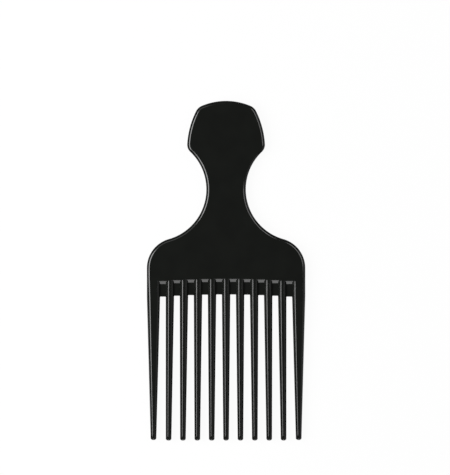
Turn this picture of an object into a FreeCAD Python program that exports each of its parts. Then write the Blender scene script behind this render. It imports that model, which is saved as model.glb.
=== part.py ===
"""Afro pick: a flat moulded hair pick with a waisted handle and one row of long tapering teeth.

The pick is one moulding. It is divided here at its natural boundaries into the grip head, the
neck, the bridge, the teeth and the thin gullet webs between the tooth roots. Neighbours meet
face to face, so together they make the whole moulding with nothing between them.

Frame, in millimetres: X across the pick, Y along it with the handle towards +Y and the tooth
tips towards -Y, Z through its thickness. It lies on its back at Z = 0, centred on X and Y.
Front and back are alike, about the parting plane at half the thickness.
"""

import FreeCAD
import Part

import math
import os
from dataclasses import dataclass
from enum import IntEnum

import Sketcher

# Driving sizes, in millimetres apart from the tooth count.
SIZES = {
    # Row of teeth
    "tooth_count": 11,
    "tooth_pitch": 7.0,  # at the roots
    "tip_pitch": 7.17,  # at the tips: the row fans out a little
    "tooth_length": 81.15,  # from the bridge to the tips
    "tooth_root_width": 4.2,
    "tooth_root_flat": 1.45,  # flat on the front of the root
    "tooth_tip_width": 2.8,
    "tooth_tip_flat": 0.8,
    "tooth_tip_depth": 2.8,
    "tip_dome_radius": 1.5,
    "end_tooth_width": 6.6,  # the outer tooth on each side is broader
    "end_tooth_flank": 1.5,  # its outer flank, where the taper starts
    "end_tooth_trim": 0.25,  # and a little shorter
    # Gullets, the recesses between the tooth roots
    "gullet_drop": 0.45,  # from the bridge to the top of the middle gullets
    "gullet_length": 7.88,  # from the top of the gullet to the open slot
    "gullet_step": 0.9,  # steep wall at the top of a gullet
    "gullet_ramp": 2.0,  # from the top of the gullet to the foot of its ramp
    "gullet_arc_radius": 455.0,  # the gullets lie on this shallow arc
    "web_thickness": 1.6,
    # Plate
    "plate_thickness": 5.0,
    "edge_bevel": 1.2,  # round the outline, on both faces
    # Bridge and shoulders
    "shoulder_side": 4.9,  # upright side between the teeth and the shoulder
    "shoulder_radius": 15.0,
    # Neck
    "neck_width": 19.7,
    "neck_radius": 25.75,
    "waist_from_top": 44.1,
    # Grip head
    "head_width": 38.95,
    "head_side_radius": 42.5,
    "head_wide_drop": 24.15,  # from the top to the widest level
    "head_top_radius": 31.2,
    "head_top_corner": 5.7,
    "head_lower_corner": 5.0,
}

# Sizes that follow from the driving ones.
LAYOUT = {
    "gap_count": "Sizes.tooth_count - 1",
    "slot_width": "Sizes.tooth_pitch - Sizes.tooth_root_width",
    "tooth_flank": "(Sizes.tooth_root_width - Sizes.tooth_root_flat) / 2",
    "tooth_land": "Sizes.plate_thickness - 2 * tooth_flank",
    "tip_flank": "(Sizes.tooth_tip_width - Sizes.tooth_tip_flat) / 2",
    "tip_land": "Sizes.tooth_tip_depth - 2 * tip_flank",
    "edge_land": "Sizes.plate_thickness - 2 * Sizes.edge_bevel",
    "end_tooth_land": "Sizes.plate_thickness - 2 * Sizes.end_tooth_flank",
    "gullet_step_run": "Sizes.gullet_step / 6",
    "gullet_mouth": "slot_width + 2 * tooth_flank",
    "end_tooth_inner": "(gap_count - 1) / 2 * Sizes.tooth_pitch + slot_width / 2",
    "half_width": "end_tooth_inner + Sizes.end_tooth_width",
    "neck_axis": "Sizes.neck_width / 2 + Sizes.neck_radius",
    "shoulder_axis": "half_width - Sizes.shoulder_radius",
    "shoulder_rise": "sqrt((Sizes.neck_radius + Sizes.shoulder_radius)^2 - (neck_axis - shoulder_axis)^2)",
    "overall_length": "Sizes.tooth_length + Sizes.shoulder_side + shoulder_rise + Sizes.waist_from_top",
    "top_level": "overall_length / 2",
    "tip_level": "-overall_length / 2",
    "bridge_level": "tip_level + Sizes.tooth_length",
    "waist_level": "top_level - Sizes.waist_from_top",
    "corner_rise": "sqrt(Sizes.neck_radius^2 - (neck_axis - Sizes.head_width / 2)^2)",
    "neck_reach": "corner_rise - 1.5 * Sizes.head_lower_corner",
    "neck_top": "waist_level + neck_reach",
    "neck_foot": "waist_level - neck_reach",
    "head_wide_level": "top_level - Sizes.head_wide_drop",
    "head_side_axis": "Sizes.head_side_radius - Sizes.head_width / 2",
    "head_top_axis": "top_level - Sizes.head_top_radius",
    "outer_gap": "(gap_count - 1) / 2 * Sizes.tooth_pitch",
    "outer_sag": "Sizes.gullet_arc_radius - sqrt(Sizes.gullet_arc_radius^2 - outer_gap^2)",
    "stub_length": "Sizes.gullet_drop + outer_sag + Sizes.gullet_length",
}


class Point(IntEnum):
    """The points of a sketch edge, as constraints number them."""

    START = 1
    END = 2
    CENTRE = 3


class Axis(IntEnum):
    """A sketch's own axes, as constraints number them."""

    H = -1
    V = -2


START, END, CENTRE = Point.START, Point.END, Point.CENTRE
H_AXIS, V_AXIS = Axis.H, Axis.V
ORIGIN = (H_AXIS, START)
TOLERANCE = 1e-4
FULL_TURN = 360.0

doc = FreeCAD.newDocument("afro_pick")


# Sheets of sizes


def make_sheet(name, cells):
    """Adds a sheet with one named row for each cell."""
    sheet = doc.addObject("Spreadsheet::Sheet", name)
    for row, (alias, content) in enumerate(cells.items(), start=1):
        sheet.set(f"A{row}", alias)
        sheet.setAlias(f"B{row}", alias)
        sheet.set(f"B{row}", content)
    return sheet


sizes = make_sheet("Sizes", {alias: str(value) for alias, value in SIZES.items()})
layout = make_sheet("Layout", {alias: f"={formula}" for alias, formula in LAYOUT.items()})
doc.recompute()


def size(alias):
    """A driving size or a size that follows, as a plain number."""
    sheet = sizes if alias in SIZES else layout
    return float(sheet.get(alias))


def cell(alias):
    """The expression that reads a size from its sheet."""
    return f"Sizes.{alias}" if alias in SIZES else f"Layout.{alias}"


# Bodies and sketches


def make_body(label):
    body = doc.addObject("PartDesign::Body", label)
    body.Label = label
    return body


def make_sketch(body, name, role, **offset):
    """A sketch on one of the body's own planes, moved off it by expressions for x, y or z."""
    sketch = body.newObject("Sketcher::SketchObject", name)
    plane = next(f for f in body.Origin.OriginFeatures if f.Role == role)
    sketch.AttachmentSupport = [(plane, "")]
    sketch.MapMode = "FlatFace"
    for axis, expression in offset.items():
        sketch.setExpression(f"AttachmentOffset.Base.{axis}", expression)
    return sketch


def constrain(sketch, kind, *points):
    sketch.addConstraint(Sketcher.Constraint(kind, *points))


def dimension(sketch, name, expression, kind, *points):
    """A named dimension, bound to an expression. Its first value is the drawn one."""
    index = sketch.addConstraint(Sketcher.Constraint(kind, *points))
    sketch.renameConstraint(index, name)
    sketch.setExpression(f"Constraints.{name}", expression)


class Outline:
    """A closed chain of lines and arcs, drawn in order round a sketch."""

    def __init__(self, sketch):
        self.sketch = sketch
        self.chain = []  # (edge, its first point, its last point)
        self.drawn = {}  # edge: the call that drew it, and its points

    def line(self, start, end):
        segment = Part.LineSegment(FreeCAD.Vector(*start, 0), FreeCAD.Vector(*end, 0))
        edge = self._add(segment, START, END)
        self.drawn[edge] = (self.line, start, end, {})
        return edge

    def arc(self, centre, start, end, turn_left):
        """An arc round a centre, to the left or to the right of the way it is drawn."""
        angles = [math.atan2(y - centre[1], x - centre[0]) for x, y in (start, end)]
        circle = Part.Circle(FreeCAD.Vector(*centre, 0), FreeCAD.Vector(0, 0, 1), math.dist(centre, start))
        if turn_left:
            edge = self._add(Part.ArcOfCircle(circle, *angles), START, END)
        else:
            edge = self._add(Part.ArcOfCircle(circle, *reversed(angles)), END, START)
        self.drawn[edge] = (self.arc, start, end, {"centre": centre, "turn_left": turn_left})
        return edge

    def mirror_back(self, edges):
        """Draws the mirror images of some edges on the way back. Returns them in the edges' order."""
        images = []
        for edge in reversed(edges):
            draw, start, end, details = self.drawn[edge]
            if "centre" in details:
                details = {**details, "centre": mirror(details["centre"])}
            images.append(draw(start=mirror(end), end=mirror(start), **details))
        return images[::-1]

    def _add(self, geometry, first, last):
        edge = self.sketch.addGeometry(geometry, False)
        self.chain.append((edge, first, last))
        return edge

    def close(self, sharp_after):
        """Joins the chain: tangent everywhere, apart from the corners after these edges."""
        for (edge, _, last), (following, first, _) in zip(self.chain, self.chain[1:] + self.chain[:1]):
            kind = "Coincident" if edge in sharp_after else "Tangent"
            constrain(self.sketch, kind, edge, last, following, first)


def draw_polygon(sketch, points):
    """A closed polygon of straight lines. Returns its edges in order."""
    outline = Outline(sketch)
    edges = [outline.line(*pair) for pair in zip(points, points[1:] + points[:1])]
    outline.close(sharp_after=edges)
    return edges


def mirror(point):
    """The point's image on the other side of the centre line."""
    return (-point[0], point[1])


# Where the outline's arcs meet


def toward(start, end, distance):
    """The point at a distance from start, on the way to end."""
    share = distance / math.dist(start, end)
    return tuple(a + share * (b - a) for a, b in zip(start, end))


def circle_crossing(centre_a, radius_a, centre_b, radius_b, side):
    """Where two circles cross: the crossing on the left (1) or right (-1) of the way from a to b."""
    gap = math.dist(centre_a, centre_b)
    along = (gap**2 + radius_a**2 - radius_b**2) / (2 * gap)
    across = side * math.sqrt(radius_a**2 - along**2)
    ux, uy = ((b - a) / gap for a, b in zip(centre_a, centre_b))
    return (centre_a[0] + along * ux - across * uy, centre_a[1] + along * uy + across * ux)


def on_circle_at_level(centre, radius, level):
    """The point of a circle at a level, on the side nearer to the pick's centre line."""
    return (centre[0] + math.sqrt(radius**2 - (level - centre[1]) ** 2), level)


# Plate pieces: grip head, neck and bridge


def left_neck_arc():
    centre = (-size("neck_axis"), size("waist_level"))
    return centre, size("neck_radius")


def bind_neck_arcs(sketch, left, right):
    """Holds the waist's two arcs at their radius, on both sides of the centre line."""
    dimension(sketch, "neck_radius", cell("neck_radius"), "Radius", left, size("neck_radius"))
    constrain(sketch, "Equal", left, right)
    dimension(sketch, "neck_axis", cell("neck_axis"),
              "DistanceX", left, CENTRE, *ORIGIN, size("neck_axis"))
    dimension(sketch, "waist_level", cell("waist_level"),
              "DistanceY", *ORIGIN, left, CENTRE, size("waist_level"))
    constrain(sketch, "Symmetric", left, CENTRE, right, CENTRE, V_AXIS)


def bind_level(sketch, line, alias):
    """Holds a straight end of a plate piece level, at its place along the pick."""
    constrain(sketch, "Horizontal", line)
    dimension(sketch, alias, cell(alias), "DistanceY", *ORIGIN, line, START, size(alias))


def rim_edges(shape, ends):
    """The edges round the front and back faces, apart from those along the flat ends."""

    def is_level(edge, levels, axis):
        places = [vertex.Point[axis] for vertex in edge.Vertexes]
        return any(all(abs(place - level) < TOLERANCE for place in places) for level in levels)

    faces = (0.0, size("plate_thickness"))
    numbered = enumerate(shape.Edges, start=1)
    return [f"Edge{n}" for n, edge in numbered if is_level(edge, faces, 2) and not is_level(edge, ends, 1)]


def make_plate(body, sketch, ends):
    """Gives an outline the plate's thickness and its bevelled edges."""
    pad = body.newObject("PartDesign::Pad", f"{body.Label}_pad")
    pad.Profile = sketch
    pad.setExpression("Length", cell("plate_thickness"))
    doc.recompute()
    bevel = body.newObject("PartDesign::Chamfer", f"{body.Label}_bevel")
    bevel.Base = (pad, rim_edges(pad.Shape, ends))
    bevel.setExpression("Size", cell("edge_bevel"))
    doc.recompute()
    return body


def make_grip_head():
    """The flared top of the handle: crowned top, bowed sides, and lower corners into the waist."""
    body = make_body("grip_head")
    sketch = make_sketch(body, "grip_head_outline", "XY_Plane")
    neck_centre, neck_radius = left_neck_arc()
    side_centre = (size("head_side_axis"), size("head_wide_level"))
    side_radius = size("head_side_radius")
    top_centre = (0.0, size("head_top_axis"))
    top_radius = size("head_top_radius")
    lower_radius = size("head_lower_corner")
    upper_radius = size("head_top_corner")

    foot = on_circle_at_level(neck_centre, neck_radius, size("neck_top"))
    lower_centre = circle_crossing(
        neck_centre, neck_radius + lower_radius, side_centre, side_radius - lower_radius, side=1)
    upper_centre = circle_crossing(
        side_centre, side_radius - upper_radius, top_centre, top_radius - upper_radius, side=-1)
    neck_to_lower = toward(neck_centre, lower_centre, neck_radius)
    lower_to_side = toward(side_centre, lower_centre, side_radius)
    side_to_upper = toward(side_centre, upper_centre, side_radius)
    upper_to_top = toward(top_centre, upper_centre, top_radius)

    outline = Outline(sketch)
    left = [
        outline.arc(neck_centre, foot, neck_to_lower, turn_left=True),
        outline.arc(lower_centre, neck_to_lower, lower_to_side, turn_left=False),
        outline.arc(side_centre, lower_to_side, side_to_upper, turn_left=False),
        outline.arc(upper_centre, side_to_upper, upper_to_top, turn_left=False),
    ]
    top = outline.arc(top_centre, upper_to_top, mirror(upper_to_top), turn_left=False)
    right = outline.mirror_back(left)
    foot_line = outline.line(mirror(foot), foot)
    left_neck, left_lower, left_side, left_upper = left
    right_neck, right_lower, right_side, right_upper = right
    outline.close(sharp_after=(right_neck, foot_line))

    bind_neck_arcs(sketch, left_neck, right_neck)
    bind_level(sketch, foot_line, "neck_top")
    for left_arc, right_arc, alias in (
        (left_lower, right_lower, "head_lower_corner"),
        (left_side, right_side, "head_side_radius"),
        (left_upper, right_upper, "head_top_corner"),
    ):
        dimension(sketch, alias, cell(alias), "Radius", left_arc, size(alias))
        constrain(sketch, "Equal", left_arc, right_arc)
    dimension(sketch, "head_side_axis", cell("head_side_axis"),
              "DistanceX", *ORIGIN, left_side, CENTRE, size("head_side_axis"))
    dimension(sketch, "head_wide_level", cell("head_wide_level"),
              "DistanceY", *ORIGIN, left_side, CENTRE, size("head_wide_level"))
    constrain(sketch, "Symmetric", left_side, CENTRE, right_side, CENTRE, V_AXIS)
    dimension(sketch, "head_top_radius", cell("head_top_radius"), "Radius", top, size("head_top_radius"))
    constrain(sketch, "PointOnObject", top, CENTRE, V_AXIS)
    dimension(sketch, "head_top_axis", cell("head_top_axis"),
              "DistanceY", *ORIGIN, top, CENTRE, size("head_top_axis"))
    return make_plate(body, sketch, ends=[size("neck_top")])


def make_neck():
    """The waist of the handle, drawn in by one arc on each side."""
    body = make_body("neck")
    sketch = make_sketch(body, "neck_outline", "XY_Plane")
    centre, radius = left_neck_arc()
    top = on_circle_at_level(centre, radius, size("neck_top"))
    foot = on_circle_at_level(centre, radius, size("neck_foot"))

    outline = Outline(sketch)
    left = outline.arc(centre, foot, top, turn_left=True)
    top_line = outline.line(top, mirror(top))
    [right] = outline.mirror_back([left])
    foot_line = outline.line(mirror(foot), foot)
    outline.close(sharp_after=(left, top_line, right, foot_line))

    bind_neck_arcs(sketch, left, right)
    bind_level(sketch, top_line, "neck_top")
    bind_level(sketch, foot_line, "neck_foot")
    return make_plate(body, sketch, ends=[size("neck_top"), size("neck_foot")])


def make_bridge():
    """The broad plate that carries the teeth, with a round shoulder on each side."""
    body = make_body("bridge")
    sketch = make_sketch(body, "bridge_outline", "XY_Plane")
    neck_centre, neck_radius = left_neck_arc()
    bridge_level = size("bridge_level")
    shoulder_centre = (-size("shoulder_axis"), bridge_level + size("shoulder_side"))
    top = on_circle_at_level(neck_centre, neck_radius, size("neck_foot"))
    neck_to_shoulder = toward(neck_centre, shoulder_centre, neck_radius)
    shoulder_to_side = (-size("half_width"), shoulder_centre[1])
    foot = (-size("half_width"), bridge_level)

    outline = Outline(sketch)
    left = [
        outline.line(foot, shoulder_to_side),
        outline.arc(shoulder_centre, shoulder_to_side, neck_to_shoulder, turn_left=False),
        outline.arc(neck_centre, neck_to_shoulder, top, turn_left=True),
    ]
    top_line = outline.line(top, mirror(top))
    right = outline.mirror_back(left)
    foot_line = outline.line(mirror(foot), foot)
    left_side, left_shoulder, left_neck = left
    right_side, right_shoulder, right_neck = right
    outline.close(sharp_after=(left_neck, top_line, right_side, foot_line))

    bind_neck_arcs(sketch, left_neck, right_neck)
    bind_level(sketch, top_line, "neck_foot")
    constrain(sketch, "Vertical", left_side)
    constrain(sketch, "Vertical", right_side)
    dimension(sketch, "shoulder_radius", cell("shoulder_radius"),
              "Radius", left_shoulder, size("shoulder_radius"))
    constrain(sketch, "Equal", left_shoulder, right_shoulder)
    constrain(sketch, "Symmetric", foot_line, START, foot_line, END, V_AXIS)
    dimension(sketch, "half_width", cell("half_width"),
              "DistanceX", foot_line, END, *ORIGIN, size("half_width"))
    dimension(sketch, "bridge_level", cell("bridge_level"),
              "DistanceY", *ORIGIN, foot_line, END, bridge_level)
    return make_plate(body, sketch, ends=[size("neck_foot"), bridge_level])


# Teeth


@dataclass
class ToothSide:
    """One side of a tooth's section, as expressions: its flank's width and its land's height."""

    flank: str
    land: str


@dataclass
class ToothSection:
    """An eight-sided section of a tooth: flats front and back, sloping flanks, upright lands."""

    width: str
    depth: str
    left: ToothSide
    right: ToothSide

    def draw(self, body, name, **offset):
        """Draws the section square to the tooth, moved by expressions."""
        sketch = make_sketch(body, name, "XZ_Plane", **offset)
        half, face = evaluate(self.width) / 2, evaluate(self.depth) / 2
        left_flank, left_edge = evaluate(self.left.flank), evaluate(self.left.land) / 2
        right_flank, right_edge = evaluate(self.right.flank), evaluate(self.right.land) / 2
        points = [
            (-half, -left_edge), (-half, left_edge),
            (-half + left_flank, face), (half - right_flank, face),
            (half, right_edge), (half, -right_edge),
            (half - right_flank, -face), (-half + left_flank, -face),
        ]
        left_land, _, front, _, right_land, _, back, _ = draw_polygon(sketch, points)
        for first, second in (
            ((left_land, START), (left_land, END)),
            ((right_land, START), (right_land, END)),
            ((front, START), (back, END)),
            ((front, END), (back, START)),
        ):
            constrain(sketch, "Symmetric", *first, *second, H_AXIS)
        constrain(sketch, "Horizontal", front)
        half_width = f"({self.width}) / 2"
        dimension(sketch, "left_half", half_width, "DistanceX", left_land, END, *ORIGIN, half)
        dimension(sketch, "right_half", half_width, "DistanceX", *ORIGIN, right_land, START, half)
        dimension(sketch, "depth", self.depth, "DistanceY", back, END, front, START, 2 * face)
        dimension(sketch, "left_land", self.left.land,
                  "DistanceY", left_land, START, left_land, END, 2 * left_edge)
        dimension(sketch, "right_land", self.right.land,
                  "DistanceY", right_land, END, right_land, START, 2 * right_edge)
        dimension(sketch, "left_flank", self.left.flank,
                  "DistanceX", left_land, END, front, START, left_flank)
        dimension(sketch, "right_flank", self.right.flank,
                  "DistanceX", front, END, right_land, START, right_flank)
        return sketch


def evaluate(expression):
    """The number that an expression of the sheets gives."""
    return float(sizes.evalExpression(expression))


def round_tip(body, lean, length):
    """Turns the end of a tooth to a dome round its own axis."""
    sketch = make_sketch(body, f"{body.Label}_dome", "XY_Plane", x=lean, y=f"-({length})")
    radius = size("tip_dome_radius")
    outline = Outline(sketch)
    dome = outline.arc((0.0, radius), (0.0, 0.0), (radius, radius), turn_left=True)
    ledge = outline.line((radius, radius), (2 * radius, radius))
    outside = outline.line((2 * radius, radius), (2 * radius, -radius))
    below = outline.line((2 * radius, -radius), (0.0, -radius))
    axis = outline.line((0.0, -radius), (0.0, 0.0))
    outline.close(sharp_after=(dome, ledge, outside, below, axis))
    constrain(sketch, "Horizontal", ledge)
    constrain(sketch, "Vertical", outside)
    constrain(sketch, "Horizontal", below)
    constrain(sketch, "Coincident", dome, START, *ORIGIN)
    constrain(sketch, "PointOnObject", dome, CENTRE, V_AXIS)
    constrain(sketch, "PointOnObject", axis, START, V_AXIS)
    for name, kind, points in (
        ("dome_radius", "Radius", (dome,)),
        ("dome_height", "DistanceY", (dome, START, dome, END)),
        ("ledge_width", "DistanceX", (ledge, START, ledge, END)),
        ("clear_below", "DistanceY", (axis, START, axis, END)),
    ):
        dimension(sketch, name, cell("tip_dome_radius"), kind, *points, radius)
    groove = body.newObject("PartDesign::Groove", f"{body.Label}_round_tip")
    groove.Profile = sketch
    groove.ReferenceAxis = (sketch, ["V_Axis"])
    groove.Angle = FULL_TURN
    doc.recompute()


def make_tooth(label, root, stub, centre, lean, length):
    """A tooth: a straight stub beside the gullets, then a long taper to a domed tip."""
    body = make_body(label)
    body.setExpression("Placement.Base.x", centre)
    body.setExpression("Placement.Base.y", cell("bridge_level"))
    body.setExpression("Placement.Base.z", f"{cell('plate_thickness')} / 2")
    tip_side = ToothSide(cell("tip_flank"), cell("tip_land"))
    tip = ToothSection(cell("tooth_tip_width"), cell("tooth_tip_depth"), left=tip_side, right=tip_side)
    taper = body.newObject("PartDesign::AdditiveLoft", f"{label}_taper")
    taper.Profile = root.draw(body, f"{label}_root")
    taper.Sections = [
        stub.draw(body, f"{label}_stub_end", z=cell("stub_length")),
        tip.draw(body, f"{label}_tip", x=lean, z=length),
    ]
    taper.Ruled = True
    body.Tip = taper
    doc.recompute()
    round_tip(body, lean, length)
    return body


def make_inner_tooth(number):
    """One of the slim teeth. They lean outwards, more so away from the middle."""
    place = f"({number} - ({cell('tooth_count')} + 1) / 2)"
    side = ToothSide(cell("tooth_flank"), cell("tooth_land"))
    root = ToothSection(cell("tooth_root_width"), cell("plate_thickness"), left=side, right=side)
    return make_tooth(
        f"tooth_{number:02d}", root, root,
        centre=f"{place} * {cell('tooth_pitch')}",
        lean=f"{place} * ({cell('tip_pitch')} - {cell('tooth_pitch')})",
        length=cell("tooth_length"))


def make_end_tooth(number, side):
    """A broad outer tooth, on the left (-1) or right (1). Its outer side carries on the plate's bevel."""
    sections = []
    for outer in (
        ToothSide(cell("edge_bevel"), cell("edge_land")),
        ToothSide(cell("end_tooth_flank"), cell("end_tooth_land")),
    ):
        inner = ToothSide(cell("tooth_flank"), cell("tooth_land"))
        left, right = (outer, inner) if side < 0 else (inner, outer)
        sections.append(
            ToothSection(cell("end_tooth_width"), cell("plate_thickness"), left=left, right=right))
    return make_tooth(
        f"tooth_{number:02d}", *sections,
        centre=f"{side} * ({cell('end_tooth_inner')} + {cell('end_tooth_width')} / 2)",
        lean="0",
        length=f"{cell('tooth_length')} - {cell('end_tooth_trim')}")


# Gullet webs


def make_web(number):
    """The thin web between two tooth roots, with a ramp and a step up to the bridge on both faces."""
    body = make_body(f"gullet_web_{number:02d}")
    place = f"({number} - ({cell('gap_count')} + 1) / 2) * {cell('tooth_pitch')}"
    arc = cell("gullet_arc_radius")
    sag = f"({arc} - sqrt({arc}^2 - ({place})^2))"
    body.setExpression("Placement.Base.x", place)
    body.setExpression("Placement.Base.y", cell("bridge_level"))
    body.setExpression("Placement.Base.z", f"{cell('plate_thickness')} / 2")

    section = make_sketch(body, f"{body.Label}_section", "XZ_Plane")
    draw_hourglass(section)
    pad = body.newObject("PartDesign::Pad", f"{body.Label}_pad")
    pad.Profile = section
    pad.setExpression("Length", f"{cell('gullet_drop')} + {sag} + {cell('gullet_length')}")
    doc.recompute()

    recess = make_sketch(body, f"{body.Label}_recess", "YZ_Plane", x=f"-({cell('gullet_drop')} + {sag})")
    for face in (1, -1):
        draw_recess(recess, face)
    pocket = body.newObject("PartDesign::Pocket", f"{body.Label}_pocket")
    pocket.Profile = recess
    pocket.Type = "ThroughAll"
    pocket.Midplane = True
    doc.recompute()
    return body


def draw_hourglass(sketch):
    """The space between two tooth sections: wide at both faces, narrow at the parting plane."""
    mouth, slot = size("gullet_mouth") / 2, size("slot_width") / 2
    face, edge = size("plate_thickness") / 2, size("tooth_land") / 2
    left_half = [(-mouth, -face), (-slot, -edge), (-slot, edge), (-mouth, face)]
    points = left_half + [mirror(point) for point in reversed(left_half)]
    _, left, _, front, _, right, _, back = draw_polygon(sketch, points)
    for line in (left, right):
        constrain(sketch, "Symmetric", line, START, line, END, H_AXIS)
    for line in (front, back):
        constrain(sketch, "Symmetric", line, START, line, END, V_AXIS)
    constrain(sketch, "Symmetric", left, START, right, END, V_AXIS)
    constrain(sketch, "Symmetric", front, START, back, END, H_AXIS)
    dimension(sketch, "mouth", cell("gullet_mouth"), "DistanceX", front, START, front, END, 2 * mouth)
    dimension(sketch, "depth", cell("plate_thickness"), "DistanceY", back, END, front, START, 2 * face)
    dimension(sketch, "slot", cell("slot_width"), "DistanceX", left, END, right, START, 2 * slot)
    dimension(sketch, "land", cell("tooth_land"), "DistanceY", left, START, left, END, 2 * edge)


def draw_recess(sketch, face):
    """The side view of the recess on the front (1) or back (-1), from the top of its step down."""
    top, floor = size("plate_thickness") / 2, size("web_thickness") / 2
    step, run = size("gullet_step"), size("gullet_step_run")
    ramp, reach = size("gullet_ramp"), 2 * size("gullet_length")
    side = "front" if face > 0 else "back"
    points = [
        (0.0, face * top), (-run, face * (top - step)), (-ramp, face * floor),
        (-reach, face * floor), (-reach, face * top),
    ]
    wall, slope, bottom, far_end, open_side = draw_polygon(sketch, points)
    constrain(sketch, "PointOnObject", wall, START, V_AXIS)
    constrain(sketch, "Horizontal", bottom)
    constrain(sketch, "Vertical", far_end)
    constrain(sketch, "Horizontal", open_side)
    for name, value, inner, outer, height in (
        ("face", f"{cell('plate_thickness')} / 2", ORIGIN, (wall, START), top),
        ("floor", f"{cell('web_thickness')} / 2", ORIGIN, (slope, END), floor),
        ("step", cell("gullet_step"), (wall, END), (wall, START), step),
    ):
        lower, upper = (inner, outer) if face > 0 else (outer, inner)
        dimension(sketch, f"{side}_{name}", value, "DistanceY", *lower, *upper, height)
    for name, value, line, point, length in (
        ("step_run", cell("gullet_step_run"), wall, END, run),
        ("ramp", cell("gullet_ramp"), slope, END, ramp),
        ("reach", f"2 * {cell('gullet_length')}", far_end, END, reach),
    ):
        dimension(sketch, f"{side}_{name}", value, "DistanceX", line, point, wall, START, length)


# Checks and export


def check_objects():
    """Stops if a feature failed to build."""
    for feature in doc.Objects:
        if {"Invalid", "Error"} & set(feature.State):
            raise RuntimeError(f"{feature.Name} failed: {feature.State}")


def check_shape(piece):
    shape = piece.Shape
    if shape.isNull() or not shape.isValid() or len(shape.Solids) != 1:
        raise RuntimeError(f"{piece.Label} isn't one sound solid")


def main():
    tooth_count = int(size("tooth_count"))
    pieces = [make_grip_head(), make_neck(), make_bridge(), make_end_tooth(1, side=-1)]
    pieces += [make_inner_tooth(number) for number in range(2, tooth_count)]
    pieces.append(make_end_tooth(tooth_count, side=1))
    pieces += [make_web(number) for number in range(1, tooth_count)]
    doc.recompute()
    check_objects()
    os.makedirs("parts", exist_ok=True)
    for piece in pieces:
        check_shape(piece)
        piece.Shape.exportStep(f"parts/{piece.Label}.step")
    print(f"{len(pieces)} pieces, {size('overall_length'):.2f} long, {2 * size('half_width'):.2f} wide")


main()
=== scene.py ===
"""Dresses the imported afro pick: one glossy black moulding with eleven tapered teeth.

Sizes are in millimetres, in the pick's own frame: X runs across the teeth, +Y towards the
head of the handle and +Z out of the front face, and the back face lies on Z = 0.
"""

from __future__ import annotations

import logging
import math
from collections.abc import Sequence
from dataclasses import dataclass, field, replace
from enum import Enum

import bmesh
import bpy
from bpy.types import GeometryNodeTree, Material, NodeInputs, NodeOutputs, NodeSocket
from bpy.types import NodeTree, Object, ShaderNodeTree
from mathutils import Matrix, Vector

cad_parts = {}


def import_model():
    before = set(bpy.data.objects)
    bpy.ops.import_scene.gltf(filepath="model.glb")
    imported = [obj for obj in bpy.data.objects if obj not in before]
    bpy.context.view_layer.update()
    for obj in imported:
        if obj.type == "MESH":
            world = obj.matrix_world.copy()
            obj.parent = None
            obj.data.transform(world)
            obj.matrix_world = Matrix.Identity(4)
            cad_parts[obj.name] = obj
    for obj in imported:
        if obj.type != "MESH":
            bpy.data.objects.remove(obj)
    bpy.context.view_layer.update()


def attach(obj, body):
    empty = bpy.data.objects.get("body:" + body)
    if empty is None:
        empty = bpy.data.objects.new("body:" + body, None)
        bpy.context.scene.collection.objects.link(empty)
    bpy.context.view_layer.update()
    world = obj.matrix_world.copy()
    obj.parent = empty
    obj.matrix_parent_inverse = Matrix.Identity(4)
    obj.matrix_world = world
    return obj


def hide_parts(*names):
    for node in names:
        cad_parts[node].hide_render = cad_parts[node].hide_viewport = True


LOG = logging.getLogger("afro_pick")
MM = 0.001
BODY = "root"
WEAR = "edge_wear"
LEAN = "lean"
SAG = "sag"
PLACE = "place"
# A Mix node's sockets for colours, which share their names with those for other kinds of value.
COLOUR_MIX_INPUTS = (0, 6, 7)
COLOUR_MIX_RESULT = 2


class Side(Enum):
    """The two sides of the pick, with the sign of X there."""

    LEFT = -1
    RIGHT = 1


# Sections and outlines


def blend(first: float, second: float, share: float) -> float:
    """A value part of the way from one to another."""
    return first + (second - first) * share


def ease(share: float) -> float:
    """A share from 0 to 1 with a soft start and end."""
    held = min(max(share, 0.0), 1.0)
    return held * held * (3.0 - 2.0 * held)


def spaced(first: float, last: float, count: int) -> list[float]:
    """Evenly spaced values after the first one, up to the last."""
    return [blend(first, last, index / count) for index in range(1, count + 1)]


@dataclass(frozen=True)
class Corner:
    """A corner of a section, still sharp: where it is and how it will be rounded."""

    x: float
    z: float
    radius: float = 0.0
    facets: int = 0
    support: float = 0.0
    wear: float = 0.0

    def lowered(self) -> Corner:
        """The same corner on the back, as far below the parting plane."""
        return replace(self, z=-self.z)


@dataclass(frozen=True)
class SectionPoint:
    """A point of a rounded section, and how much that point is rubbed in use."""

    x: float
    z: float
    wear: float = 0.0


def round_corner(before: Corner, corner: Corner, after: Corner) -> list[SectionPoint]:
    """Rounds one corner with an arc that runs smoothly into both sides.

    Args:
        before: The corner ahead of it.
        corner: The corner to round.
        after: The corner that follows it.

    Returns:
        The points of the arc, with a support point on each side where the corner asks for one.
    """
    here = Vector((corner.x, corner.z))
    arriving = (here - Vector((before.x, before.z))).normalized()
    leaving = (Vector((after.x, after.z)) - here).normalized()
    turn = math.atan2(arriving.x * leaving.y - arriving.y * leaving.x, arriving.dot(leaving))
    setback = corner.radius * math.tan(abs(turn) / 2)
    start = here - arriving * setback
    inward = Vector((-arriving.y, arriving.x)) * math.copysign(1.0, turn)
    centre = start + inward * corner.radius
    points = []
    if corner.support:
        first = start - arriving * corner.support
        points.append(SectionPoint(first.x, first.y))
    for facet in range(corner.facets + 1):
        share = facet / corner.facets
        angle = turn * share
        spoke = start - centre
        x = centre.x + spoke.x * math.cos(angle) - spoke.y * math.sin(angle)
        z = centre.y + spoke.x * math.sin(angle) + spoke.y * math.cos(angle)
        points.append(SectionPoint(x, z, corner.wear * math.sin(math.pi * share)))
    if corner.support:
        last = here + leaving * (setback + corner.support)
        points.append(SectionPoint(last.x, last.y))
    return points


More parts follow.
